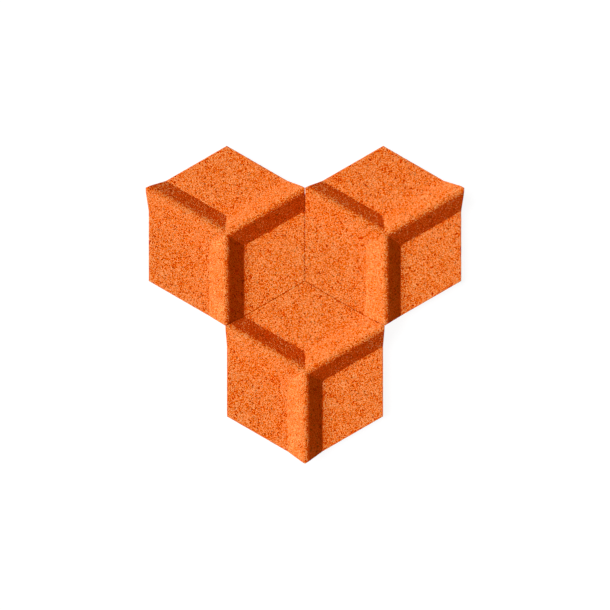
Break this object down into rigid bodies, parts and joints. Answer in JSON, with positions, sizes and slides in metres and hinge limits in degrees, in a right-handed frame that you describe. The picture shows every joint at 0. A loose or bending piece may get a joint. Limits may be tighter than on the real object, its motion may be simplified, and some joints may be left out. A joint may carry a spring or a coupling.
{
  "type": "hexagonal relief tile set",
  "caption": "Hexagonal relief blocks of fine orange-dyed agglomerated cork, each with a raised rounded Y ridge, laid side by side around a shared corner to face a wall.",
  "frame": {"origin": "the corner that the tiles share, in the middle of their open seams, on the plane of their flat backs", "axes": "+Z out of the relief face, away from the wall or table; +Y along the seam between the left and right tiles, away from the bottom tile; +X towards the right tile"},
  "size_m": [0.3362, 0.3398, 0.0276],
  "materials": {
    "orange_cork": "matte"
  },
  "bodies": {
    "bottom_tile": {"tile_bottom": "orange_cork"},
    "left_tile": {"tile_left": "orange_cork"},
    "right_tile": {"tile_right": "orange_cork"}
  },
  "joints": [
    {"name": "left_tile_slide", "type": "slide", "parent": "bottom_tile", "child": "left_tile", "axis": [-0.866, 0.5, 0], "range_m": [0, 0.06]},
    {"name": "right_tile_slide", "type": "slide", "parent": "bottom_tile", "child": "right_tile", "axis": [0.866, 0.5, 0], "range_m": [0, 0.06]}
  ]
}
